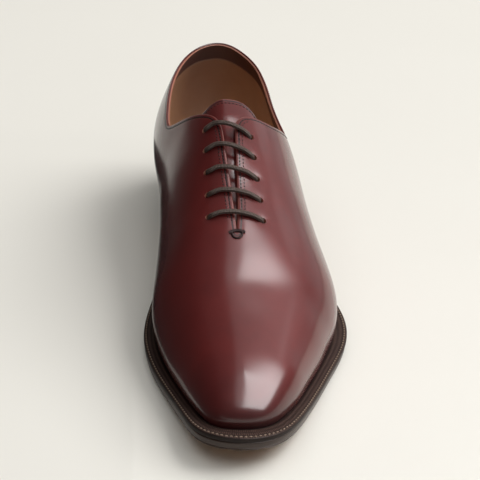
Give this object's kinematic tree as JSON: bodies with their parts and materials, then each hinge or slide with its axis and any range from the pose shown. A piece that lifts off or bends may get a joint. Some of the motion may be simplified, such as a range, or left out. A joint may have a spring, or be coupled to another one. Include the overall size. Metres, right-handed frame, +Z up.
{
  "type": "whole cut oxford shoe",
  "caption": "Low closed-laced leather dress shoe whose upper is one seamless piece, on a stitched welt, a leather sole and a stacked heel; stands empty on its sole.",
  "frame": {"origin": "on the floor, under the middle of the shoe's box", "axes": "+Z up, -Y towards the toe, +Y towards the heel, +X towards the outer side of the foot"},
  "size_m": [0.1066, 0.303, 0.1005],
  "materials": {
    "upper_leather": "polished burgundy calf",
    "tongue_leather": "polished burgundy calf",
    "insole_leather": "natural tan, matt",
    "welt_leather": "dark brown, waxed",
    "sole_leather": "dark brown edge dressing, waxed",
    "heel_leather": "stacked lifts, dark edge dressing",
    "top_piece_rubber": "black, matt",
    "lace": "round waxed cotton, dark taupe"
  },
  "bodies": {
    "root": {"upper": "upper_leather", "tongue": "tongue_leather", "insole": "insole_leather", "welt": "welt_leather", "outsole": "sole_leather", "heel_top_piece": "top_piece_rubber", "heel_lift_1": "heel_leather", "heel_lift_2": "heel_leather", "heel_lift_3": "heel_leather", "lace_bar_1": "lace", "lace_bar_2": "lace", "lace_bar_3": "lace", "lace_bar_4": "lace", "lace_bar_5": "lace"}
  },
  "joints": []
}
